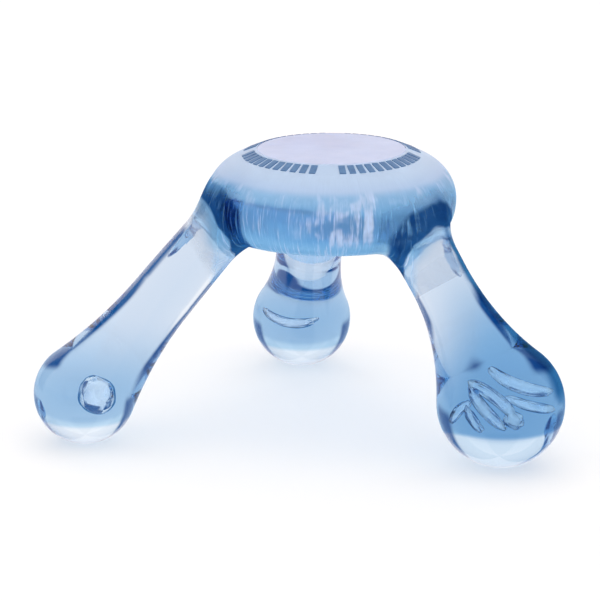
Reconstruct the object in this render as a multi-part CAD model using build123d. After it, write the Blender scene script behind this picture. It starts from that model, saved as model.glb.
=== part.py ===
from build123d import *
import os
from math import acos, asin, cos, degrees, radians, sin, sqrt

# Three-legged palm massager, moulded in clear plastic. Millimetres, +Z up. It stands on its three
# knobs at z = 0. The origin is on the floor, under the middle of the whole object's box.

# Hub: a puck with a flat underside, a rounded rim and a flat pad in the middle of its top
HUB_RADIUS = 23.9
RIM_Z = 45.0            # height where the hub is widest
UNDERSIDE_Z = 38.6
UNDERSIDE_RADIUS = 20.2  # the flat underside; a quarter ellipse joins it to the rim
SHOULDER_CENTRE = 14.5  # radius at the centre of the shoulder's ellipse, which is at the rim's height
SHOULDER_RISE = 8.6     # half height of that ellipse
CONE_RADIUS = 17.6      # outer edge of the marked cone
TOP_Z = 54.5
PAD_RADIUS = 14.2
PAD_THICKNESS = 1.6
ROOT_FILLET = 5.0       # blend between the hub and each leg root
SHOULDER_REACH = HUB_RADIUS - SHOULDER_CENTRE
CONE_COS = (CONE_RADIUS - SHOULDER_CENTRE) / SHOULDER_REACH
CONE_Z = RIM_Z + SHOULDER_RISE * sqrt(1 - CONE_COS**2)

# Ring of raised marks on the cone
MARK_COUNT = 56
MARK_GROUP = 14         # places in each group of marks
MARK_GAP = 2            # of those, the ones left empty
MARK_WIDTH = 1.2
MARK_HEIGHT = 0.15
MARK_MARGIN = 0.55      # cone left plain above and below the marks

# Legs. Azimuths are degrees from +X about the hub axis. Root and knee are (radius, height) points:
# the leg's centre line starts at the root, inside the hub, curves towards the knee and then runs
# straight into the knob's centre. The flare is the radius of the curve that widens the neck into
# the knob.
LEGS = {
    "left": dict(
        azimuth=195.0, reach=48.6, knob_radius=9.7, root=(19.0, 43.3), knee=(28.2, 33.7),
        root_radius=5.5, neck_radius=6.0, flare=74.0, joint_radius=28.0,
        void_size=(3.0, 2.6), void_offset=(2.0, -3.4, 1.6), void_tilt=(0.0, 20.0),
    ),
    "rear": dict(
        azimuth=98.5, reach=38.2, knob_radius=10.2, root=(16.5, 45.5), knee=(31.4, 21.0),
        root_radius=6.2, neck_radius=6.7, flare=45.0, joint_radius=26.0,
        void_size=(4.6, 1.3), void_offset=(-2.2, -4.0, 0.6), void_tilt=(-20.0, 12.0),
    ),
    "right": dict(
        azimuth=320.4, reach=40.4, knob_radius=11.9, root=(18.0, 43.0), knee=(25.0, 35.0),
        root_radius=5.8, neck_radius=5.6, flare=44.0, joint_radius=26.4,
        void_size=(5.0, 2.2), void_offset=(-2.8, -3.4, 1.0), void_tilt=(-30.0, 30.0),
    ),
}
SECTIONS = 14           # circles that each leg is lofted through
STUB_SECTIONS = 4
KNOB_COLLAR = 4.0       # length of the flare that belongs to the knob


def polar(azimuth, radius, height):
    """A point at an azimuth, radius and height about the hub axis."""
    return Vector(radius * cos(radians(azimuth)), radius * sin(radians(azimuth)), height)


def hub_axis_offset():
    """The hub axis, placed so that the origin is under the middle of the whole object's box."""
    centres = [(polar(leg["azimuth"], leg["reach"], 0), leg["knob_radius"]) for leg in LEGS.values()]
    lows = [min(tuple(c)[i] - r for c, r in centres) for i in range(2)]
    highs = [max(tuple(c)[i] + r for c, r in centres) for i in range(2)]
    return Pos(-(lows[0] + highs[0]) / 2, -(lows[1] + highs[1]) / 2, 0)


class LegShape:
    """Centre line and thickness of one leg, measured back from its knob's centre."""

    def __init__(self, leg):
        self.knob_radius = leg["knob_radius"]
        self.neck_radius = leg["neck_radius"]
        self.root_radius = leg["root_radius"]
        self.flare = leg["flare"]
        knob_to_flare = self.knob_radius + self.flare
        self.flare_start = sqrt(knob_to_flare**2 - (self.neck_radius + self.flare) ** 2)
        self.ball_edge = self.flare_start * self.knob_radius / knob_to_flare
        self.knob_joint = self.ball_edge + KNOB_COLLAR
        self.centre = polar(leg["azimuth"], leg["reach"], self.knob_radius)
        root = polar(leg["azimuth"], *leg["root"])
        knee = polar(leg["azimuth"], *leg["knee"])
        self.knob_axis = (knee - self.centre).normalized()
        self.line = Bezier(root, knee, self.centre + self.knob_axis * self.knob_joint)
        self.length = self.line.length + self.knob_joint
        self.hub_joint = self.distance_at_radius(leg["joint_radius"])

    def plane(self, distance):
        """The plane across the leg at a distance from the knob's centre, facing the hub."""
        if distance <= self.knob_joint:
            return Plane(origin=self.centre + self.knob_axis * distance, z_dir=self.knob_axis)
        along = self.length - distance
        point = self.line.position_at(along, position_mode=PositionMode.LENGTH)
        tangent = self.line.tangent_at(along, position_mode=PositionMode.LENGTH)
        return Plane(origin=point, z_dir=-tangent)

    def distance_at_radius(self, radius):
        """How far from the knob's centre the centre line passes a given radius of the hub axis."""
        near, far = 0.0, self.length
        for _ in range(40):
            middle = (near + far) / 2
            origin = self.plane(middle).origin
            if sqrt(origin.X**2 + origin.Y**2) > radius:
                near = middle
            else:
                far = middle
        return near

    def radius(self, distance):
        """Thickness of the leg: a light taper, widened near the knob by the flare."""
        past_neck = max(0.0, distance - self.flare_start) / (self.length - self.flare_start)
        plain = self.neck_radius + (self.root_radius - self.neck_radius) * past_neck
        if distance >= self.flare_start:
            return plain
        return plain + self.flare - sqrt(self.flare**2 - (distance - self.flare_start) ** 2)

    def lofted(self, start, end, count):
        """Round leg between two distances from the knob's centre."""
        steps = [start + (end - start) * i / (count - 1) for i in range(count)]
        return loft([self.plane(step) * Circle(self.radius(step)) for step in steps])


def hub_profile():
    """Half section of the hub, without the pad's recess."""
    lower_rim = EllipticalCenterArc(
        (UNDERSIDE_RADIUS, RIM_Z), HUB_RADIUS - UNDERSIDE_RADIUS, RIM_Z - UNDERSIDE_Z,
        start_angle=-90, arc_size=90,
    )
    shoulder = EllipticalCenterArc(
        (SHOULDER_CENTRE, RIM_Z), SHOULDER_REACH, SHOULDER_RISE,
        start_angle=0, arc_size=degrees(acos(CONE_COS)),
    )
    outline = [
        Line((0, TOP_Z), (0, UNDERSIDE_Z)),
        Line((0, UNDERSIDE_Z), (UNDERSIDE_RADIUS, UNDERSIDE_Z)),
        lower_rim,
        shoulder,
        Line((CONE_RADIUS, CONE_Z), (PAD_RADIUS, TOP_Z)),
        Line((PAD_RADIUS, TOP_Z), (0, TOP_Z)),
    ]
    return Plane.XZ * make_face(outline)


def palm_hub(shapes):
    """The puck, with a filleted root for each leg and a recess for the pad."""
    hub = revolve(hub_profile(), Axis.Z)
    for shape in shapes.values():
        stub = shape.lofted(shape.hub_joint, shape.length, STUB_SECTIONS)
        joined = hub + stub
        seam = new_edges(hub, stub, combined=joined)
        hub = fillet(seam, ROOT_FILLET)
    recess = Pos(0, 0, TOP_Z - PAD_THICKNESS) * Cylinder(
        PAD_RADIUS, PAD_THICKNESS, align=(Align.CENTER, Align.CENTER, Align.MIN)
    )
    return hub - recess


def top_disc():
    """The flat polished pad, flush with the top edge of the cone."""
    return Pos(0, 0, TOP_Z - PAD_THICKNESS) * Cylinder(
        PAD_RADIUS, PAD_THICKNESS, align=(Align.CENTER, Align.CENTER, Align.MIN)
    )


def ring_marks():
    """Raised bars around the cone: a thin conical band, cut by one radial box for each bar."""
    slope = Vector(CONE_RADIUS - PAD_RADIUS, CONE_Z - TOP_Z).normalized()
    outward = Vector(-slope.Y, slope.X)
    inner = Vector(PAD_RADIUS, TOP_Z) + slope * MARK_MARGIN
    outer = Vector(CONE_RADIUS, CONE_Z) - slope * MARK_MARGIN
    corners = [inner, outer, outer + outward * MARK_HEIGHT, inner + outward * MARK_HEIGHT]
    section = make_face(Polyline(*corners, close=True))
    band = revolve(Plane.XZ * section, Axis.Z)
    cutter = Pos((PAD_RADIUS + CONE_RADIUS) / 2, 0, CONE_Z) * Box(
        2 * CONE_RADIUS - PAD_RADIUS, MARK_WIDTH, 2 * (TOP_Z - UNDERSIDE_Z)
    )
    bars = []
    for index in range(MARK_COUNT):
        if (index + 1) % MARK_GROUP < MARK_GAP:
            continue
        bars += (band & Rot(0, 0, 360 * index / MARK_COUNT) * cutter).solids()
    return Compound(bars)


def leg(shape):
    """One leg, from the hub's root to the ball of its knob."""
    return shape.lofted(shape.knob_joint, shape.hub_joint, SECTIONS)


def lens(across, thick):
    """A flat void: two shallow caps, back to back."""
    radius = (across**2 + thick**2) / (2 * thick)
    return Pos(0, 0, thick - radius) * Sphere(radius) & Pos(0, 0, radius - thick) * Sphere(radius)


def knob(shape, leg_data):
    """The ball and the collar that runs up to the leg, turned in one, with its sealed void."""
    ball_radius, edge, top = shape.knob_radius, shape.ball_edge, shape.knob_joint
    middle = (edge + top) / 2
    outline = [
        CenterArc((0, 0), ball_radius, -90, 90 + degrees(asin(edge / ball_radius))),
        ThreePointArc(
            (shape.radius(edge), edge), (shape.radius(middle), middle), (shape.radius(top), top)
        ),
        Line((shape.radius(top), top), (0, top)),
        Line((0, top), (0, -ball_radius)),
    ]
    turned = shape.plane(0) * revolve(Plane.XZ * make_face(outline), Axis.Z)
    tilt_x, tilt_y = leg_data["void_tilt"]
    place = Pos(*tuple(shape.centre + Vector(*leg_data["void_offset"]))) * Rot(tilt_x, tilt_y, 0)
    return turned - place * lens(*leg_data["void_size"])


os.makedirs("parts", exist_ok=True)
offset = hub_axis_offset()
shapes = {name: LegShape(leg_data) for name, leg_data in LEGS.items()}
nodes = {"palm_hub": palm_hub(shapes), "top_disc": top_disc(), "ring_marks": ring_marks()}
for name, shape in shapes.items():
    nodes["leg_" + name] = leg(shape)
    nodes["knob_" + name] = knob(shape, LEGS[name])
for node, solid in nodes.items():
    export_step(offset * solid, "parts/" + node + ".step")
    box = (offset * solid).bounding_box()
    print(node, [round(v, 2) for v in tuple(box.min) + tuple(box.max)])
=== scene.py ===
"""A three-legged palm massager in clear blue plastic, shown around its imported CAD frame.

Shapes are worked out in millimetres about the hub's axis, with the floor at z = 0, and placed in
metres when a piece is made. Every clear piece is a closed solid. Where two of them are bonded, the
faces that meet carry a fully transparent material, so light passes as it does in one moulding.
The materials work in metres, in the part's own frame.
"""

import math

import bmesh
import bpy
import numpy as np
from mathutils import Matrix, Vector, noise


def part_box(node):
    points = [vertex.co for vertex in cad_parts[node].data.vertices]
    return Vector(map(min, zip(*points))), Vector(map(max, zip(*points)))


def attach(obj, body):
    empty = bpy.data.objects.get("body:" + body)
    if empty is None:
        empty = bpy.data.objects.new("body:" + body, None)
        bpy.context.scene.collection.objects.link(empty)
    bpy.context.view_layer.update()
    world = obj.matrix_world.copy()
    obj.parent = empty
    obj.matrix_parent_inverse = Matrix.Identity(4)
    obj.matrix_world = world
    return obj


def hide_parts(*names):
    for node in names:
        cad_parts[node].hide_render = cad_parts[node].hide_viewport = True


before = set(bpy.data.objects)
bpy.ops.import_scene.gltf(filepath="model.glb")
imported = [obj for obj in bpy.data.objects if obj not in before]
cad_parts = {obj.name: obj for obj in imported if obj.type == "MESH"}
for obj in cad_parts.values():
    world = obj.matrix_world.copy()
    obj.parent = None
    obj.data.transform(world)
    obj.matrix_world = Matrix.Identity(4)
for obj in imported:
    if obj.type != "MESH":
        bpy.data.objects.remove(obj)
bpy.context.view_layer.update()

MM = 0.001
pad_low, pad_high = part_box("top_disc")
AXIS_X = (pad_low.x + pad_high.x) / 2 / MM
AXIS_Y = (pad_low.y + pad_high.y) / 2 / MM
TOP_Z = pad_high.z / MM
PAD_RADIUS = (pad_high.x - pad_low.x) / 2 / MM
RECESS_Z = pad_low.z / MM

# The hub's section, as in the CAD model
HUB_RADIUS = 23.9
RIM_Z = 45.0
UNDERSIDE_Z = 38.6
UNDERSIDE_RADIUS = 20.2
SHOULDER_CENTRE = 14.5
SHOULDER_RISE = 8.6
CONE_RADIUS = 17.6
SHOULDER_REACH = HUB_RADIUS - SHOULDER_CENTRE
CONE_Z = RIM_Z + SHOULDER_RISE * math.sqrt(1 - ((CONE_RADIUS - SHOULDER_CENTRE) / SHOULDER_REACH) ** 2)
ROOT_BLEND = 5.0        # how softly each leg runs into the hub
PAD_EDGE = 0.16         # rounded edge of the pad

# The legs, as in the CAD model: azimuths about the hub's axis, and (radius, height) points
LEGS = {
    "left": dict(
        azimuth=195.0, reach=48.6, knob_radius=9.7, root=(19.0, 43.3), knee=(28.2, 33.7),
        root_radius=5.5, neck_radius=6.0, flare=74.0, joint_radius=28.0,
    ),
    "rear": dict(
        azimuth=98.5, reach=38.2, knob_radius=10.2, root=(16.5, 45.5), knee=(31.4, 21.0),
        root_radius=6.2, neck_radius=6.7, flare=45.0, joint_radius=26.0,
    ),
    "right": dict(
        azimuth=320.4, reach=40.4, knob_radius=11.9, root=(18.0, 43.0), knee=(25.0, 35.0),
        root_radius=5.8, neck_radius=5.6, flare=44.0, joint_radius=26.4,
    ),
}
KNOB_COLLAR = 4.0       # length of the flare that belongs to the knob

# Mesh density
GRID = 0.7              # spacing of the grid that the hub's blended skin is found on
RING = 128              # points round a leg
RIM_RING = 192          # points round the hub's cone and pad
LEG_ROWS = 72
COLLAR_ROWS = 12
KNOB_ROWS = 56


# ---------------------------------------------------------------- shapes, as numbers

def unit(v):
    return v / np.maximum(np.linalg.norm(v, axis=-1, keepdims=True), 1e-12)


def polar(azimuth, radius, height):
    angle = math.radians(azimuth)
    return np.array([radius * math.cos(angle), radius * math.sin(angle), height])


class Leg:
    """A leg's centre line and thickness. Distances run from the knob's centre to the hub.

    The line curves from the root to the knob's joint, then runs straight to the knob's centre.
    """

    def __init__(self, azimuth, reach, knob_radius, root, knee, root_radius, neck_radius, flare,
                 joint_radius):
        self.knob_radius, self.neck_radius, self.flare = knob_radius, neck_radius, flare
        self.root_radius = root_radius
        knob_to_flare = knob_radius + flare
        self.flare_start = math.sqrt(knob_to_flare**2 - (neck_radius + flare) ** 2)
        self.ball_edge = self.flare_start * knob_radius / knob_to_flare
        self.knob_joint = self.ball_edge + KNOB_COLLAR
        self.across = polar(azimuth + 90, 1, 0)
        self.centre = polar(azimuth, reach, knob_radius)
        root, knee = polar(azimuth, *root), polar(azimuth, *knee)
        self.ends = root, knee, self.centre + unit(knee - self.centre) * self.knob_joint
        straight = self.knob_joint / np.linalg.norm(self.slope(1.0))
        self.steps = np.linspace(0, 1 + straight, 901)
        line = self.point(self.steps)
        lengths = np.concatenate([[0], np.cumsum(np.linalg.norm(np.diff(line, axis=0), axis=1))])
        self.length = lengths[-1]
        self.distances = self.length - lengths
        radii = np.hypot(line[:, 0], line[:, 1])
        self.hub_joint = float(np.interp(joint_radius, radii, self.distances))

    def point(self, t):
        t = np.asarray(t)[..., None]
        a, b, c = self.ends
        s = np.minimum(t, 1)
        return (1 - s) ** 2 * a + 2 * s * (1 - s) * b + s**2 * c + 2 * (t - s) * (c - b)

    def slope(self, t):
        s = np.minimum(np.asarray(t), 1)[..., None]
        a, b, c = self.ends
        return 2 * (1 - s) * (b - a) + 2 * s * (c - b)

    def bend(self, t):
        a, b, c = self.ends
        return 2 * (a - 2 * b + c) * (np.asarray(t) < 1)[..., None]

    def step_at(self, distance):
        return np.interp(self.length - np.asarray(distance), self.length - self.distances, self.steps)

    def radius(self, distance):
        """Thickness, and how fast it changes with distance."""
        distance = np.asarray(distance, float)
        past = self.length - self.flare_start
        taper = (self.root_radius - self.neck_radius) / past
        plain = self.neck_radius + taper * np.maximum(distance - self.flare_start, 0)
        inward = np.clip(self.flare_start - distance, 0, self.flare * 0.999)
        drop = np.sqrt(self.flare**2 - inward**2)
        change = np.where(inward > 0, -inward / drop, taper)
        return plain + self.flare - drop, change

    def section(self, distance, angles):
        """Points and outward normals of the leg's skin at a distance, at angles round it."""
        t = self.step_at(distance)
        slope = self.slope(t)
        speed = np.linalg.norm(slope)
        along = -slope / speed
        up = unit(np.cross(self.across, along))
        radius, change = self.radius(distance)
        out = np.cos(angles)[:, None] * up + np.sin(angles)[:, None] * self.across
        bend = self.bend(t)
        turn = (bend - (bend @ along) * along) / speed**2
        stretch = 1 - radius * (out @ turn)[:, None]
        return self.point(t) + radius * out, unit(out * stretch - change * along)

    def plane(self, distance):
        t = self.step_at(distance)
        return self.point(t), -unit(self.slope(t))

    def field(self, p):
        """Signed distance to the leg, good near its skin."""
        coarse = self.steps[::90]
        line = self.point(coarse)
        t = coarse[np.argmin((line**2).sum(1) - 2 * p @ line.T, axis=1)]
        for _ in range(4):
            away, slope = p - self.point(t), self.slope(t)
            stiff = (slope**2).sum(1) - (away * self.bend(t)).sum(1)
            t = np.clip(t + (away * slope).sum(1) / np.maximum(stiff, 1e-3), 0, self.steps[-1])
        radius, _ = self.radius(np.interp(t, self.steps, self.distances))
        return np.linalg.norm(p - self.point(t), axis=1) - radius


legs = {name: Leg(**sizes) for name, sizes in LEGS.items()}


def ellipse_field(x, z, half_x, half_z):
    scaled = np.hypot(x / half_x, z / half_z)
    steep = np.hypot(x / half_x**2, z / half_z**2)
    return scaled * (scaled - 1) / np.maximum(steep, 1e-9)


def puck_field(p):
    """Signed distance to the hub's puck, good near its skin below the cone."""
    r, z = np.hypot(p[:, 0], p[:, 1]), p[:, 2] - RIM_Z
    upper = ellipse_field(np.maximum(r - SHOULDER_CENTRE, 0), z, SHOULDER_REACH, SHOULDER_RISE)
    drop, edge = RIM_Z - UNDERSIDE_Z, HUB_RADIUS - UNDERSIDE_RADIUS
    lower = ellipse_field(np.maximum(r - UNDERSIDE_RADIUS, 0), z, edge, drop)
    return np.where(z > 0, upper, lower)


def soft_union(a, b, softness):
    share = np.clip(0.5 + 0.5 * (b - a) / softness, 0, 1)
    return b + (a - b) * share - softness * share * (1 - share)


def body_field(p):
    """The puck and the three legs, blended."""
    field = puck_field(p)
    for leg in legs.values():
        field = soft_union(field, leg.field(p), ROOT_BLEND)
    return field


CORNERS = np.array([[1, 1, 1], [1, -1, -1], [-1, 1, -1], [-1, -1, 1]])


def field_slope(p, step=0.02):
    """The field and its slope, from four points round each one."""
    around = np.stack([body_field(p + step * corner) for corner in CORNERS], axis=1)
    return around.mean(axis=1), around @ CORNERS / (4 * step)


def onto_skin(p, rounds):
    """Moves points onto the blended skin."""
    for _ in range(rounds):
        field, slope = field_slope(p)
        p = p - (field / np.maximum((slope**2).sum(1), 1e-6))[:, None] * slope
    return p


def skin_normals(p):
    return unit(field_slope(p)[1])


def skin_net(low, high):
    """A quad mesh near the blended skin inside a box: one point for each grid cell it crosses."""
    axes = [np.arange(low[i], high[i] + GRID, GRID) for i in range(3)]
    shape = tuple(len(a) for a in axes)
    nodes = np.stack(np.meshgrid(*axes, indexing="ij"), axis=-1).reshape(-1, 3)
    inside = (body_field(nodes) < 0).reshape(shape)
    cells = tuple(n - 1 for n in shape)
    count = sum(
        inside[i:cells[0] + i, j:cells[1] + j, k:cells[2] + k].astype(int)
        for i in (0, 1) for j in (0, 1) for k in (0, 1)
    )
    crossed = (count > 0) & (count < 8)
    number = np.full(cells, -1)
    number[crossed] = np.arange(crossed.sum())
    at = np.argwhere(crossed)
    verts = np.array(low) + (at + 0.5) * GRID
    faces = []
    for axis in range(3):
        near = np.take(inside, range(shape[axis] - 1), axis=axis)
        far = np.take(inside, range(1, shape[axis]), axis=axis)
        edges = np.argwhere(near != far)
        u, v = [a for a in range(3) if a != axis]
        low_side = (edges[:, u] > 0) & (edges[:, v] > 0)
        high_side = (edges[:, u] < cells[u]) & (edges[:, v] < cells[v])
        edges = edges[low_side & high_side]
        corners = []
        for du, dv in ((0, 0), (-1, 0), (-1, -1), (0, -1)):
            cell = edges.copy()
            cell[:, u] += du
            cell[:, v] += dv
            corners.append(number[tuple(cell.T)])
        faces.append(np.stack(corners, axis=1))
    return verts, np.concatenate(faces)


def relaxed(verts, faces, rounds):
    """Evens out the net along the skin."""
    edges = np.unique(np.sort(np.concatenate(
        [faces[:, [i, (i + 1) % 4]] for i in range(4)]
    ), axis=1), axis=0)
    count = np.bincount(edges.ravel(), minlength=len(verts))[:, None]
    for _ in range(rounds):
        total = np.zeros_like(verts)
        np.add.at(total, edges[:, 0], verts[edges[:, 1]])
        np.add.at(total, edges[:, 1], verts[edges[:, 0]])
        normals = skin_normals(verts)
        move = 0.6 * (total / np.maximum(count, 1) - verts)
        verts = onto_skin(verts + move - (move * normals).sum(1, keepdims=True) * normals, 1)
    return verts


# ---------------------------------------------------------------- patches and pieces

class Patch:
    """Part of a piece's surface: points, their normals, faces, and the material slot it takes."""

    def __init__(self, verts, normals, faces, material):
        self.verts, self.normals = np.asarray(verts, float), np.asarray(normals, float)
        self.faces, self.material = [tuple(int(i) for i in f) for f in faces], material


def ring_angles(count):
    return np.arange(count) * 2 * math.pi / count


def grid_faces(rows, count):
    """Quads between rows of points that each go all the way round."""
    return [
        (row * count + i, row * count + (i + 1) % count,
         (row + 1) * count + (i + 1) % count, (row + 1) * count + i)
        for row in range(rows - 1) for i in range(count)
    ]


def rows_patch(rows, material, pole=None):
    """A surface through rows of (points, normals), closed at a pole if there is one."""
    count = len(rows[0][0])
    verts = np.concatenate([p for p, _ in rows])
    normals = np.concatenate([n for _, n in rows])
    faces = grid_faces(len(rows), count)
    if pole is not None:
        last = (len(rows) - 1) * count
        faces += [(last + i, last + (i + 1) % count, len(verts)) for i in range(count)]
        verts = np.vstack([verts, pole[0]])
        normals = np.vstack([normals, pole[1]])
    return Patch(verts, normals, faces, material)


def turned_patch(section, material):
    """A surface turned about the hub's axis from (radius, height, normal_r, normal_z) points."""
    angles = ring_angles(RIM_RING)
    rows = []
    for r, z, nr, nz in section:
        out = np.stack([np.cos(angles), np.sin(angles), np.zeros(RIM_RING)], axis=1)
        rows.append((out * r + [0, 0, z], unit(out * nr + [0, 0, nz])))
    return rows_patch(rows, material)


def flat_cap(ring, normal, material):
    """A flat face inside a ring of points."""
    middle = ring.mean(axis=0)
    return rows_patch(
        [(ring, np.tile(normal, (len(ring), 1)))], material, pole=(middle, normal)
    )


def zipped(loop_a, normals_a, loop_b, normals_b, order_a, order_b, material):
    """Triangles between two loops of points, matched by the angle each point stands at."""
    sort_a, sort_b = np.argsort(order_a), np.argsort(order_b)
    a, b = order_a[sort_a], order_b[sort_b]
    na, nb = len(a), len(b)
    faces, i, j = [], 0, 0
    while i < na or j < nb:
        next_a = a[(i + 1) % na] + 2 * math.pi * ((i + 1) // na)
        next_b = b[(j + 1) % nb] + 2 * math.pi * ((j + 1) // nb)
        here_a, here_b = sort_a[i % na], na + sort_b[j % nb]
        if j >= nb or (i < na and next_a <= next_b):
            faces.append((here_a, sort_a[(i + 1) % na], here_b))
            i += 1
        else:
            faces.append((here_a, na + sort_b[(j + 1) % nb], here_b))
            j += 1
    return Patch(np.vstack([loop_a, loop_b]), np.vstack([normals_a, normals_b]), faces, material)


def piece(name, patches, materials, nodes):
    """Joins patches into one closed mesh object that stands for some CAD nodes."""
    verts = np.concatenate([p.verts for p in patches])
    keys = np.round(verts, 5)
    _, first, index = np.unique(keys, axis=0, return_index=True, return_inverse=True)
    index = index.ravel()
    welded = verts[first]
    faces, loop_normals, slots, base = [], [], [], 0
    for patch in patches:
        number = index[base:base + len(patch.verts)]
        base += len(patch.verts)
        quads = np.array([face[:4] if len(face) > 3 else (*face, face[0]) for face in patch.faces])
        p = patch.verts[quads]
        flat = np.cross(p[:, 2] - p[:, 0], p[:, 3] - p[:, 1])
        flipped = (flat * patch.normals[quads[:, :3]].sum(axis=1)).sum(axis=1) < 0
        for face, flip in zip(patch.faces, flipped):
            face = [i for k, i in enumerate(face) if number[i] != number[face[k - 1]]]
            if flip:
                face.reverse()
            faces.append([int(number[i]) for i in face])
            loop_normals.append(patch.normals[face])
        slots += [patch.material] * len(patch.faces)
    loop_normals = np.concatenate(loop_normals)
    mesh = bpy.data.meshes.new(name)
    mesh.from_pydata(((welded + [AXIS_X, AXIS_Y, 0]) * MM).tolist(), [], faces)
    for material in materials:
        mesh.materials.append(material)
    mesh.polygons.foreach_set("material_index", slots)
    mesh.polygons.foreach_set("use_smooth", [True] * len(faces))
    mesh.normals_split_custom_set(loop_normals.tolist())
    mesh.update()
    made = bpy.data.objects.new(name, mesh)
    bpy.context.scene.collection.objects.link(made)
    made.visible_shadow = False
    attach(made, "root")
    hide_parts(*nodes)
    return made


# ---------------------------------------------------------------- materials

class Nodes:
    """A few shorthands for making the nodes of a material or a world."""

    def __init__(self, owner):
        owner.use_nodes = True
        self.owner, self.tree = owner, owner.node_tree
        kind = "Principled BSDF" if isinstance(owner, bpy.types.Material) else "Background"
        self.shader = self.tree.nodes[kind]

    def fill(self, socket, value):
        """Links an input to another node's output, or sets it."""
        if isinstance(value, bpy.types.NodeSocket):
            self.tree.links.new(value, socket)
        else:
            socket.default_value = value

    def add(self, kind, inputs=(), **settings):
        node = self.tree.nodes.new(kind)
        for key, value in settings.items():
            setattr(node, key, value)
        for key, value in dict(inputs).items():
            self.fill(node.inputs[key], value)
        return node

    def set(self, **inputs):
        """Sets inputs of the shader that the material or world came with."""
        for key, value in inputs.items():
            self.fill(self.shader.inputs[key.replace("_", " ")], value)

    def maths(self, operation, *values):
        return self.add("ShaderNodeMath", enumerate(values), operation=operation).outputs[0]

    def ramp(self, value, low, high):
        """0 at low and 1 at high, with a smooth run between; high may be the smaller one."""
        return self.add(
            "ShaderNodeMapRange", {"Value": value, "From Min": low, "From Max": high},
            interpolation_type="SMOOTHSTEP",
        ).outputs[0]

    def mix(self, share, first, second):
        """A colour between two, which is the second where the share is 1."""
        return self.add(
            "ShaderNodeMix", {0: share, 6: first, 7: second}, data_type="RGBA"
        ).outputs[2]

    def mix_shader(self, share, first, second):
        return self.add("ShaderNodeMixShader", {0: share, 1: first, 2: second}).outputs[0]

    def finish(self, shader):
        """Makes a shader the material's surface, and drops its first one if nothing uses it."""
        self.tree.links.new(shader, self.tree.nodes["Material Output"].inputs["Surface"])
        if not self.shader.outputs[0].is_linked:
            self.tree.nodes.remove(self.shader)

    def noise(self, size, detail):
        """Cloudy noise in space; a larger size is a finer cloud."""
        return self.add(
            "ShaderNodeTexNoise", {"Vector": place(self), "Scale": size, "Detail": detail}
        ).outputs["Fac"]

    def spread(self, value, low, high):
        """Runs from low to high as the value goes from 0 to 1."""
        return self.add(
            "ShaderNodeMapRange", {"Value": value, "To Min": low, "To Max": high}
        ).outputs[0]

    def wobble(self, value, cloud, size):
        """A value moved up and down by a cloud."""
        return self.maths("ADD", value, self.maths("MULTIPLY", self.maths("SUBTRACT", cloud, 0.5), size))

    def bump(self, heights, strength, distance):
        return self.add(
            "ShaderNodeBump", {"Height": heights, "Strength": strength, "Distance": distance}
        ).outputs[0]


PLASTIC_IOR = 1.49

# How fast the plastic takes out red, green and blue, per metre of the light's path, and how much
# of that is left in the hub and in the knobs' undersides
DEPTH_LOSS = (36.0, 20.0, 8.5)
HUB_DEPTH = 0.5
# Painted light: the knobs' undersides keep only this share of the loss, so they come out paler
SOLE_DEPTH = 0.5

# What the surface lets through: partly the plastic's own blue, deeper where it is thick, and partly
# painted light and shade that stand in for refraction
TINT_CLEAR = (0.96, 0.975, 1.0, 1)
TINT_KNOB = (0.60, 0.77, 0.91, 1)   # round the knobs
THICK_BLUE_AND_SHADE = (0.36, 0.59, 0.80, 1)  # round the thick right leg and knob
TINT_HUB = (0.46, 0.73, 0.91, 1)    # round the hub's side
# Painted shade, partly the plastic's deeper blue: dark navy in the thick band where each leg runs into
# the hub
ROOT_DEEP_BLUE_AND_SHADE = (0.03, 0.15, 0.37, 1)   # in the thick band where each leg runs into the hub
# Painted shade: dark blue on the right leg's outer side where it is seen edge on, standing in for dark
# refraction
EDGE_PAINTED_SHADE = (0.05, 0.22, 0.44, 1)   # on the right leg's outer side, where it is seen edge on
EDGE_WAY = (0.817, 0.156, 0.556)    # the way that side faces
# Painted light: the knobs' undersides are painted paler, standing in for bright light seen through them
PAINTED_LIGHT_SOLE = 5.0 * MM               # the knobs are paler below this height,
THICK_SOLE = 3.2 * MM               # and the right one below a line this much higher
ROOT_BANDS = {"left": (20.0, 25.2), "rear": (20.0, 25.0), "right": (22.5, 27.0)}
BAND_LEAN = 0.5                     # how far a band leans in towards the axis as it goes down
RIGHT_AZIMUTH = math.radians(LEGS["right"]["azimuth"])

# The hub's worn surface
HAZE_TOP = (0.50, 0.66, 0.88, 1)    # dull, brushed surface on the cone
HAZE_SIDE = (0.44, 0.60, 0.86, 1)   # and below it
SATIN_BLUE = (0.19, 0.48, 0.82, 1)  # where the wear is light
SATIN = 0.43                        # how much of the hub's side is dulled all over,
SATIN_FADE = 4.0 * MM               # fading over this distance towards a leg's root
INNER_SCATTER = 0.3                 # share of light scattered at the hub's faces, from within
WORN_AZIMUTH = math.radians(-76)    # where the hub's side is worn most

PAD_DARK = (0.31, 0.46, 0.81, 1)
PAD_PALE = (0.40, 0.54, 0.87, 1)
PAD_GLOW = (0.50, 0.72, 0.92, 1)    # the pad, seen from underneath through the hub
VOID_EDGE_SHADE = (0.06, 0.24, 0.46, 1)
VOID_FROST = (0.84, 0.92, 1.0, 1)
MARK_DARK = (0.03, 0.11, 0.28, 1)
MARK_PALE = (0.10, 0.24, 0.46, 1)


def place(n):
    return n.add("ShaderNodeTexCoord").outputs["Object"]


def height(n):
    return n.add("ShaderNodeSeparateXYZ", {"Vector": place(n)}).outputs[2]


def from_axis(n):
    """Angle round the hub's axis, distance from it, and height."""
    parts = n.add("ShaderNodeSeparateXYZ", {"Vector": place(n)}).outputs
    x = n.maths("SUBTRACT", parts[0], AXIS_X * MM)
    y = n.maths("SUBTRACT", parts[1], AXIS_Y * MM)
    distance = n.maths("SQRT", n.maths("ADD", n.maths("MULTIPLY", x, x), n.maths("MULTIPLY", y, y)))
    return n.maths("ARCTAN2", y, x), distance, parts[2]


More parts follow.
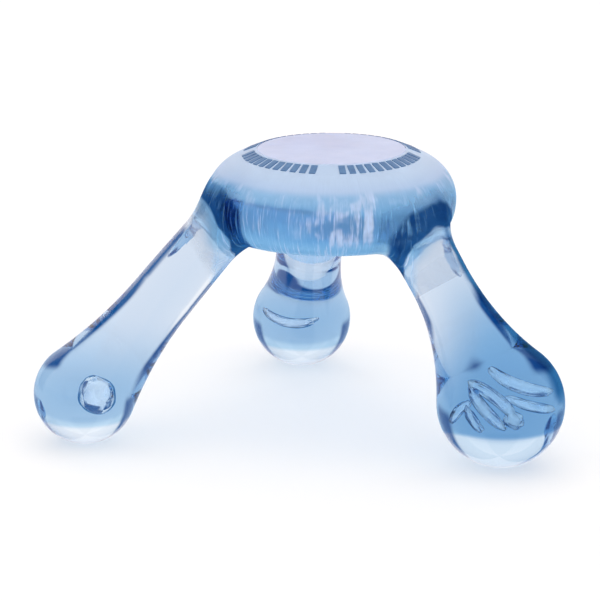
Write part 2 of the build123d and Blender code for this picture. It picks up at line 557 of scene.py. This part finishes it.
def root_band(n, angle, distance, z, name, fade=0.0):
    """1 in the band across one leg's root, which leans with the leg; it may fade in slowly."""
    turn = n.maths("SUBTRACT", angle, math.radians(LEGS[name]["azimuth"]))
    out = n.maths("MULTIPLY", distance, n.maths("COSINE", turn))
    side = n.maths("ABSOLUTE", n.maths("MULTIPLY", distance, n.maths("SINE", turn)))
    lean = n.maths("MULTIPLY", n.maths("SUBTRACT", z, RIM_Z * MM), BAND_LEAN)
    out = n.wobble(n.maths("SUBTRACT", out, lean), n.noise(220.0, 1.0), 2.0 * MM)
    inner, outer = (edge * MM for edge in ROOT_BANDS[name])
    band = n.ramp(out, inner - fade, inner + MM)
    band = n.maths("MULTIPLY", band, n.ramp(out, outer, outer - 0.6 * MM))
    band = n.maths("MULTIPLY", band, n.ramp(side, 0.0125, 0.0110))
    return n.maths("MULTIPLY", band, n.ramp(z, 0.0505, 0.0490))


def right_edge_painted_shade(n, out, z):
    """1 where dark shade is painted: the right leg's outer side where it is seen edge on, wider by the
    knob.
    """
    normal = n.add("ShaderNodeNewGeometry").outputs["Normal"]
    facing = n.add(
        "ShaderNodeVectorMath", {0: normal, 1: EDGE_WAY}, operation="DOT_PRODUCT"
    ).outputs["Value"]
    facing = n.wobble(facing, n.noise(170.0, 2.0), 0.35)
    facing = n.maths("ADD", facing, n.maths("MULTIPLY", n.ramp(z, 0.0240, 0.0170), 0.06))
    along = n.maths("MULTIPLY", n.ramp(out, 0.0245, 0.0275), n.ramp(z, 0.0105, 0.0160))
    grazing = n.add("ShaderNodeLayerWeight", {"Blend": 0.5}).outputs["Facing"]
    along = n.maths("MULTIPLY", along, n.ramp(grazing, 0.30, 0.60))
    return n.maths("MULTIPLY", n.ramp(facing, 0.74, 0.86), along)


def surface_tint(n):
    """What the surface lets through: deeper where the moulding is thick, partly as the plastic's own
    colour and partly as painted shade.

    These tints are painted on by position. They stand in for what the real moulding shows by
    refraction, which depends on surroundings that aren't known: painted dark shade at the legs' roots
    and on the right leg's outer edge, and painted light on the knobs' paler undersides.
    """
    angle, distance, z = from_axis(n)
    out = n.maths("MULTIPLY", distance, n.maths("COSINE", n.maths("SUBTRACT", angle, RIGHT_AZIMUTH)))
    thick = n.ramp(out, 0.026, 0.042)
    above = n.maths("SUBTRACT", z, n.maths("MULTIPLY", thick, THICK_SOLE))
    above = n.ramp(above, PAINTED_LIGHT_SOLE, PAINTED_LIGHT_SOLE + 0.0012)
    knob = n.maths("MULTIPLY", above, n.ramp(z, 0.026, 0.012))
    hub = n.maths("MULTIPLY", n.ramp(z, 0.0365, 0.0400), n.ramp(z, 0.0500, 0.0465))
    hub = n.maths("MULTIPLY", hub, n.ramp(distance, 0.0275, 0.0245))
    tint = n.mix(hub, n.mix(knob, TINT_CLEAR, TINT_KNOB), TINT_HUB)
    # painted shade, partly the plastic's deeper blue, round the thick right leg and knob
    tint = n.mix(n.maths("MULTIPLY", thick, above), tint, THICK_BLUE_AND_SHADE)
    # painted shade, partly the plastic's deeper blue, in a band across each leg's root
    for name in ROOT_BANDS:
        tint = n.mix(root_band(n, angle, distance, z, name), tint, ROOT_DEEP_BLUE_AND_SHADE)
    # painted shade along the right leg's outer edge
    return n.mix(right_edge_painted_shade(n, out, z), tint, EDGE_PAINTED_SHADE)


def deep_tint(n):
    """What is left of light after the path it has just travelled inside the plastic."""
    path = n.add("ShaderNodeLightPath").outputs["Ray Length"]
    z = height(n)
    hub = n.ramp(z, 0.037, 0.042)
    # painted light: less loss in the knobs' undersides makes them paler
    sole = n.ramp(z, 0.0065, 0.003)
    depth = n.maths("SUBTRACT", 1.0, n.maths("MULTIPLY", hub, 1 - HUB_DEPTH))
    depth = n.maths("SUBTRACT", depth, n.maths("MULTIPLY", sole, 1 - SOLE_DEPTH))
    path = n.maths("MULTIPLY", path, depth)
    channels = [n.maths("EXPONENT", n.maths("MULTIPLY", path, -loss)) for loss in DEPTH_LOSS]
    return n.add(
        "ShaderNodeCombineColor", {"Red": channels[0], "Green": channels[1], "Blue": channels[2]}
    ).outputs[0]


def clear_plastic(name, bump, roughness, haze=None):
    """Clear blue plastic, whose colour deepens with the light's path inside it.

    The glass shader tints what it turns back as well as what it lets out, so light that bounces
    about inside a thick place goes dark blue. bump, roughness and haze are functions of the nodes.
    """
    n = Nodes(bpy.data.materials.new(name))
    inside = n.add("ShaderNodeNewGeometry").outputs["Backfacing"]
    normal = bump(n)
    deep = deep_tint(n)
    shader = n.add(
        "ShaderNodeBsdfGlass",
        {"Color": n.mix(inside, surface_tint(n), deep), "IOR": PLASTIC_IOR,
         "Roughness": roughness(n), "Normal": normal},
    ).outputs[0]
    if haze:
        share = haze(n, inside)
        pale = n.mix(n.ramp(height(n), 0.0500, 0.0528), HAZE_SIDE, HAZE_TOP)
        colour = n.mix(n.ramp(share, 0.40, 0.70), SATIN_BLUE, pale)
        dull = n.add("ShaderNodeBsdfDiffuse", {"Color": colour, "Normal": normal}).outputs[0]
        glow = n.add("ShaderNodeBsdfTranslucent", {"Color": deep, "Normal": normal}).outputs[0]
        worn = n.mix_shader(inside, dull, glow)
        shader = n.mix_shader(share, shader, worn)
    n.finish(shader)
    return n.owner


def waves(strength):
    """The slow waviness of a thick moulding."""
    def bump(n):
        return n.bump(n.noise(90.0, 1.0), strength, 0.002)
    return bump


def polish(low, high):
    """Roughness that varies a little over the surface."""
    def roughness(n):
        return n.spread(n.noise(400.0, 2.0), low, high)
    return roughness


def round_noise(n, across, up, detail):
    """Noise on the hub's side, with cells of a size in mm across and up."""
    angle, _, z = from_axis(n)
    vector = n.add(
        "ShaderNodeCombineXYZ",
        {"X": n.maths("MULTIPLY", angle, HUB_RADIUS / across), "Y": n.maths("MULTIPLY", z, 1 / MM / up)},
    ).outputs[0]
    return n.add(
        "ShaderNodeTexNoise", {"Vector": vector, "Scale": 1.0, "Detail": detail, "Roughness": 0.6}
    ).outputs["Fac"]


def brush_marks(n):
    """Fine upright scratches round the hub."""
    return n.bump(round_noise(n, 0.9, 9.0, 3.0), 0.3, 0.0003)


def hub_haze(n, inside):
    """Share of the hub's surface that is dull: its shoulder, and brush marks on the side below.

    The side has a few worn patches and is a little dull all over, except in the bands by the
    legs where dark shade is painted. A share of the light that has gone in is scattered at every face,
    which keeps the hub from going dark inside; so it is less clear than the real one.
    """
    angle, distance, z = from_axis(n)
    shoulder = n.ramp(n.wobble(z, round_noise(n, 3.0, 20.0, 5.0), 6.0 * MM), 0.0468, 0.0502)
    mottle = n.ramp(round_noise(n, 3.6, 9.0, 4.0), 0.38, 0.64)
    mottle = n.maths("MAXIMUM", mottle, n.ramp(z, 0.0490, 0.0512))
    top = n.spread(mottle, 0.40, 0.66)
    scratches = n.maths("MULTIPLY", n.ramp(round_noise(n, 0.45, 6.0, 3.0), 0.50, 0.74), 0.30)
    worn = n.ramp(n.maths("COSINE", n.maths("SUBTRACT", angle, WORN_AZIMUTH)), 0.80, 0.95)
    worn = n.maths("MULTIPLY", worn, n.ramp(z, 0.0400, 0.0425))
    patches = n.maths("MULTIPLY", n.ramp(round_noise(n, 6.0, 4.4, 2.0), 0.38, 0.66), worn)
    streaks = n.ramp(round_noise(n, 0.9, 8.0, 3.0), 0.34, 0.62)
    patches = n.maths("MULTIPLY", n.maths("MULTIPLY", patches, streaks), 0.5)
    satin = SATIN
    for name in ROOT_BANDS:
        band = root_band(n, angle, distance, z, name, SATIN_FADE)
        satin = n.maths("MULTIPLY", satin, n.maths("SUBTRACT", 1.0, band))
    side = n.maths("ADD", n.maths("ADD", scratches, patches), satin)
    haze = n.spread(shoulder, side, top)
    haze = n.maths("MAXIMUM", haze, n.maths("MULTIPLY", inside, INNER_SCATTER))
    return n.maths("MULTIPLY", haze, n.ramp(distance, 0.0262, 0.0241))


def void_skin():
    """The wall of a sealed void: frosted where it faces you, with a painted dark shade where it curves
    away.
    """
    n = Nodes(bpy.data.materials.new("void_skin"))
    normal = waves(0.05)(n)
    facing = n.add("ShaderNodeLayerWeight", {"Blend": 0.5, "Normal": normal}).outputs["Facing"]
    # painted shade: the void's glass is tinted dark where its wall is seen edge on
    edge = n.ramp(facing, 0.38, 0.70)
    glass = n.add(
        "ShaderNodeBsdfGlass",
        {"Color": n.mix(edge, TINT_CLEAR, VOID_EDGE_SHADE), "IOR": PLASTIC_IOR, "Roughness": 0.02,
         "Normal": normal},
    ).outputs[0]
    frost = n.add("ShaderNodeBsdfDiffuse", {"Color": VOID_FROST, "Normal": normal}).outputs[0]
    share = n.maths("MULTIPLY", n.ramp(n.noise(260.0, 1.0), 0.30, 0.70), n.maths("SUBTRACT", 1.0, edge))
    n.finish(n.mix_shader(n.maths("MULTIPLY", share, 0.75), glass, frost))
    return n.owner


def bonded_faces():
    """Where two clear pieces are bonded, light goes straight on."""
    n = Nodes(bpy.data.materials.new("bonded_faces"))
    n.set(Base_Color=(0.9, 0.95, 1, 1), Alpha=0.0)
    return n.owner


def pad_plastic():
    """The polished pad; light that comes at it from inside the hub is scattered back down."""
    n = Nodes(bpy.data.materials.new("pad_plastic"))
    cloud = n.noise(260.0, 4.0)
    n.set(Base_Color=n.mix(cloud, PAD_DARK, PAD_PALE), Roughness=0.2, IOR=PLASTIC_IOR,
          Transmission_Weight=0.3, Normal=n.bump(cloud, 0.15, 0.0004))
    inside = n.add("ShaderNodeNewGeometry").outputs["Backfacing"]
    glow = n.add("ShaderNodeBsdfTranslucent", {"Color": PAD_GLOW}).outputs[0]
    n.finish(n.mix_shader(inside, n.shader.outputs[0], glow))
    return n.owner


def mark_print():
    n = Nodes(bpy.data.materials.new("mark_print"))
    n.set(Base_Color=n.mix(n.noise(900.0, 3.0), MARK_DARK, MARK_PALE), Roughness=0.45, IOR=1.35)
    return n.owner


BOND = bonded_faces()
LEG_PLASTIC = clear_plastic("leg_plastic", waves(0.04), polish(0.0, 0.03))
KNOB_PLASTIC = clear_plastic("knob_plastic", waves(0.04), polish(0.0, 0.03))
RIM_PLASTIC = clear_plastic("hub_rim_plastic", brush_marks, polish(0.0, 0.05), hub_haze)
CONE_PLASTIC = clear_plastic("hub_top_plastic", waves(0.02), polish(0.05, 0.15), hub_haze)
PAD_PLASTIC = pad_plastic()
VOID_SKIN = void_skin()


# ---------------------------------------------------------------- the pieces

SETBACK = 0.35          # width of the strip that joins the hub's skin to each exact ring


def hub_skin():
    """The hub's blended skin, cut off just short of the three leg joints and the cone."""
    rings = np.concatenate([
        leg.section(leg.hub_joint, ring_angles(RING))[0] for leg in legs.values()
    ])
    margin = 2.5
    low = np.minimum(rings.min(axis=0), [-HUB_RADIUS, -HUB_RADIUS, UNDERSIDE_Z]) - margin
    high = np.maximum(rings.max(axis=0), [HUB_RADIUS, HUB_RADIUS, CONE_Z]) + margin
    verts, faces = skin_net(low, high)
    verts = relaxed(onto_skin(verts, 3), faces, 5)
    bm = bmesh.new()
    made = [bm.verts.new(v) for v in verts]
    for face in faces:
        bm.faces.new([made[i] for i in face])
    cuts = [(np.array([0, 0, CONE_Z - SETBACK]), np.array([0, 0, 1.0]))]
    for leg in legs.values():
        at, normal = leg.plane(leg.hub_joint + SETBACK)
        cuts.append((at, -normal))
    for at, normal in cuts:
        bmesh.ops.bisect_plane(
            bm, geom=bm.verts[:] + bm.edges[:] + bm.faces[:], dist=1e-5,
            plane_co=Vector(at), plane_no=Vector(normal), clear_outer=True,
        )
    bmesh.ops.dissolve_degenerate(bm, dist=0.01, edges=bm.edges[:])
    bm.verts.index_update()
    verts = np.array([v.co[:] for v in bm.verts])
    faces = [[v.index for v in f.verts] for f in bm.faces]
    border = sorted({v.index for e in bm.edges if e.is_boundary for v in e.verts})
    bm.free()
    verts = onto_skin(verts, 2)
    return Patch(verts, skin_normals(verts), faces, 0), np.array(border)


def flat_ring(radius, z):
    """Points round the hub's axis."""
    angles = ring_angles(RIM_RING)
    return np.stack([np.cos(angles) * radius, np.sin(angles) * radius, np.full(RIM_RING, z)], axis=1)


def make_hub():
    """The blended skin, zipped to the cone and to the three leg joints, with the pad's recess."""
    skin, border = hub_skin()
    patches = [skin]
    loose = skin.verts[border]
    top = border[loose[:, 2] > CONE_Z - 2 * SETBACK]
    angles = ring_angles(RIM_RING)
    circle = flat_ring(CONE_RADIUS, CONE_Z)
    patches.append(zipped(
        skin.verts[top], skin.normals[top], circle, skin_normals(circle),
        np.arctan2(skin.verts[top][:, 1], skin.verts[top][:, 0]) % (2 * math.pi), angles, 0,
    ))
    for leg in legs.values():
        at, along = leg.plane(leg.hub_joint)
        near = border[np.abs((loose - at) @ along) < 3 * SETBACK]
        near = near[np.linalg.norm(skin.verts[near] - at, axis=1) < 2 * leg.root_radius]
        ring, ring_normals = leg.section(leg.hub_joint, ring_angles(RING))
        up = unit(np.cross(leg.across, along))
        away = skin.verts[near] - at
        order = np.arctan2(away @ leg.across, away @ up) % (2 * math.pi)
        patches.append(zipped(
            skin.verts[near], skin.normals[near], ring, ring_normals, order, ring_angles(RING), 0,
        ))
        patches.append(flat_cap(ring, -along, 2))
    slope = unit(np.array([TOP_Z - CONE_Z, CONE_RADIUS - PAD_RADIUS]))
    patches.append(turned_patch(
        [(CONE_RADIUS, CONE_Z, *slope), (PAD_RADIUS, TOP_Z, *slope)], 1))
    patches.append(turned_patch(
        [(PAD_RADIUS, TOP_Z, -1, 0), (PAD_RADIUS, RECESS_Z, -1, 0)], 2))
    patches.append(flat_cap(flat_ring(PAD_RADIUS, RECESS_Z), np.array([0, 0, 1.0]), 2))
    materials = [RIM_PLASTIC, CONE_PLASTIC, BOND]
    return piece("palm_hub_body", patches, materials, ["palm_hub"])


def make_pad():
    """The flat pad, with a finely rounded edge."""
    edge = []
    for turn in np.linspace(0, math.pi / 2, 7):
        out, up = math.cos(turn), math.sin(turn)
        edge.append((PAD_RADIUS - PAD_EDGE * (1 - out), TOP_Z - PAD_EDGE * (1 - up), out, up))
    inner = [(PAD_RADIUS * share, TOP_Z, 0, 1) for share in (0.9, 0.6, 0.3)]
    top = turned_patch(edge + inner, 0)
    last = top.verts[-RIM_RING:]
    patches = [
        top,
        flat_cap(last, np.array([0, 0, 1.0]), 0),
        turned_patch([(PAD_RADIUS, TOP_Z - PAD_EDGE, 1, 0), (PAD_RADIUS, RECESS_Z, 1, 0)], 1),
    ]
    base = patches[2].verts[-RIM_RING:]
    patches.append(flat_cap(base, np.array([0, 0, -1.0]), 1))
    return piece("palm_pad_disc", patches, [PAD_PLASTIC, BOND], ["top_disc"])


def make_leg(name, leg):
    angles = ring_angles(RING)
    rows = [
        leg.section(d, angles) for d in np.linspace(leg.knob_joint, leg.hub_joint, LEG_ROWS)
    ]
    _, knob_side = leg.plane(leg.knob_joint)
    _, hub_side = leg.plane(leg.hub_joint)
    patches = [
        rows_patch(rows, 0),
        flat_cap(rows[0][0], -knob_side, 1),
        flat_cap(rows[-1][0], hub_side, 1),
    ]
    materials = [LEG_PLASTIC, BOND]
    return piece("leg_%s_body" % name, patches, materials, ["leg_" + name])


def ball(leg):
    """A knob's skin: the collar that runs down from the leg's joint, then the ball."""
    angles = ring_angles(RING)
    _, along = leg.plane(0)
    up = unit(np.cross(leg.across, along))
    out = np.cos(angles)[:, None] * up + np.sin(angles)[:, None] * leg.across
    rows = [
        leg.section(d, angles) for d in np.linspace(leg.knob_joint, leg.ball_edge, COLLAR_ROWS)
    ]
    start = math.acos(leg.ball_edge / leg.knob_radius)
    for turn in np.linspace(start, math.pi, KNOB_ROWS + 1)[1:-1]:
        normal = math.cos(turn) * along + math.sin(turn) * out
        rows.append((leg.centre + leg.knob_radius * normal, normal))
    pole = leg.centre - leg.knob_radius * along
    return [rows_patch(rows, 0, pole=(pole, -along)), flat_cap(rows[0][0], along, 1)]


def turned(across, away, up):
    """Rotation about X, then Y, then Z, in degrees."""
    matrix = np.eye(3)
    for axis, degrees in enumerate((across, away, up)):
        i, j = [k for k in range(3) if k != axis]
        angle = math.radians(degrees if axis != 1 else -degrees)
        spin = np.eye(3)
        spin[i, i] = spin[j, j] = math.cos(angle)
        spin[i, j], spin[j, i] = -math.sin(angle), math.sin(angle)
        matrix = spin @ matrix
    return matrix


BLUNT = 0.7             # how blunt the ends of a void are; 1 is an ellipsoid


def void_patch(centre, sizes, turn, bend, ripple, seed):
    """A sealed bubble or flake: an uneven, bent ellipsoid whose normals point into it."""
    bm = bmesh.new()
    bmesh.ops.create_icosphere(bm, subdivisions=5, radius=1.0)
    rotation = turned(*turn)
    for v in bm.verts:
        p = np.array(v.co[:])
        wave = noise.noise(Vector(p * 1.3 + seed * 7.3)) + 0.3 * noise.noise(Vector(p * 3.1 + seed))
        p[0] = math.copysign(abs(p[0]) ** BLUNT, p[0])
        p = p * sizes * (1 + ripple * wave)
        p[2] += bend * (p[0] ** 2)
        v.co = Vector(rotation @ p + centre)
    bm.normal_update()
    bm.verts.index_update()
    verts = np.array([v.co[:] for v in bm.verts])
    normals = -np.array([v.normal[:] for v in bm.verts])
    faces = [[v.index for v in f.verts] for f in bm.faces]
    bm.free()
    return Patch(verts, normals, faces, 2)


# Each void: centre from the knob's centre, half sizes, turns, bend, unevenness and seed
VOIDS = {
    "left": [((2.3, -3.4, 1.0), (2.9, 2.4, 3.1), (0, 20, 0), 0.0, 0.08, 1)],
    "rear": [((-2.6, -4.9, 1.3), (4.9, 1.5, 1.2), (-20, 6, 0), 0.055, 0.20, 2)],
    "right": [
        ((-1.9, -5.2, 3.0), (5.0, 1.1, 1.0), (0, 38, 0), -0.02, 0.15, 3),
        ((-2.9, -5.4, 0.7), (4.6, 1.2, 1.0), (0, 49, 0), 0.02, 0.15, 5),
        ((-7.2, -4.8, 0.2), (2.7, 0.9, 0.8), (0, -46, 0), -0.05, 0.18, 6),
        ((-4.8, -5.8, -0.9), (2.6, 0.9, 0.8), (0, 53, 0), 0.03, 0.20, 7),
        ((1.6, -5.0, -0.9), (1.5, 1.1, 1.3), (20, 30, 0), 0.0, 0.30, 8),
        ((2.2, -4.6, 4.3), (6.0, 0.8, 1.1), (0, 22, 0), 0.04, 0.12, 9),
        ((4.4, -4.8, 1.0), (4.2, 0.8, 0.8), (0, 13, 0), 0.03, 0.15, 10),
    ],
}


def make_knob(name, leg):
    patches = ball(leg)
    for offset, *shape in VOIDS[name]:
        patches.append(void_patch(leg.centre + offset, *shape))
    materials = [KNOB_PLASTIC, BOND, VOID_SKIN]
    return piece("knob_%s_body" % name, patches, materials, ["knob_" + name])


make_hub()
make_pad()
for leg_name, leg_shape in legs.items():
    make_leg(leg_name, leg_shape)
    make_knob(leg_name, leg_shape)

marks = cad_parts["ring_marks"]
marks.data.materials.clear()
marks.data.materials.append(mark_print())


# ---------------------------------------------------------------- stage, light and camera

FLOOR_WHITE = (0.84, 0.935, 0.99, 1)


def make_floor():
    """A pale table that the plastic itself neither reflects nor shows."""
    bpy.ops.mesh.primitive_plane_add(size=6.0)
    floor = bpy.context.object
    floor.name = "floor"
    n = Nodes(bpy.data.materials.new("floor_white"))
    n.set(Base_Color=FLOOR_WHITE, Roughness=0.9)
    floor.data.materials.append(n.owner)
    floor.visible_glossy = False
    floor.visible_transmission = False


SKY = (1.40, 1.22, 1.12, 1)         # the big soft light overhead and behind
WALLS = (1.00, 0.95, 0.97, 1)       # what stands round the object below the light
FLOOR_GLOW = (1.00, 0.97, 1.0, 1)   # pale table under it
NAVY = (0.012, 0.11, 0.32, 1)       # dark screens between the lights, which draw the edges


def make_world():
    """A studio that the clear plastic shows: light above, pale walls, dark screens.

    The camera itself sees only white.
    """
    world = bpy.data.worlds.new("studio")
    bpy.context.scene.world = world
    n = Nodes(world)
    way = n.add("ShaderNodeSeparateXYZ", {0: n.add("ShaderNodeTexCoord").outputs["Generated"]}).outputs
    turn = n.maths("ARCTAN2", way[0], way[1])
    light = n.mix(n.ramp(way[2], 0.08, 0.2), WALLS, SKY)
    sector = n.maths("COSINE", n.maths("MULTIPLY", turn, 3.0))
    below = n.mix(n.ramp(sector, 0.6, 0.0), FLOOR_GLOW, NAVY)
    light = n.mix(n.ramp(way[2], -0.56, -0.68), light, below)
    aside = n.maths("ABSOLUTE", turn)
    sides = n.maths("MULTIPLY", n.ramp(aside, 0.70, 0.86), n.ramp(aside, 1.40, 1.23))
    sides = n.maths("MULTIPLY", sides, n.ramp(way[2], -0.15, 0.0))
    sides = n.maths("MULTIPLY", sides, n.ramp(way[2], 0.8, 0.65))
    light = n.mix(sides, light, NAVY)
    seen = n.mix(n.add("ShaderNodeLightPath").outputs["Is Camera Ray"], light, (1, 1, 1, 1))
    n.set(Color=seen)


def make_camera():
    shot_distance, shot_elevation, shot_lens = 0.480, math.radians(15.7), 148.7
    target = Vector((AXIS_X - 6.0, AXIS_Y, 24.5)) * MM
    back = Vector((0, -math.cos(shot_elevation), math.sin(shot_elevation)))
    data = bpy.data.cameras.new("camera")
    data.lens = shot_lens
    data.sensor_width = 36.0
    data.clip_start = 0.01
    camera = bpy.data.objects.new("camera", data)
    camera.location = target + back * shot_distance
    camera.rotation_mode = "QUATERNION"
    camera.rotation_quaternion = (-back).to_track_quat("-Z", "Y")
    bpy.context.scene.collection.objects.link(camera)
    bpy.context.scene.camera = camera


make_floor()
make_world()
make_camera()
scene = bpy.context.scene
scene.view_settings.view_transform = "Standard"
scene.cycles.max_bounces = 24
scene.cycles.transmission_bounces = 24
scene.cycles.glossy_bounces = 24
scene.cycles.transparent_max_bounces = 24
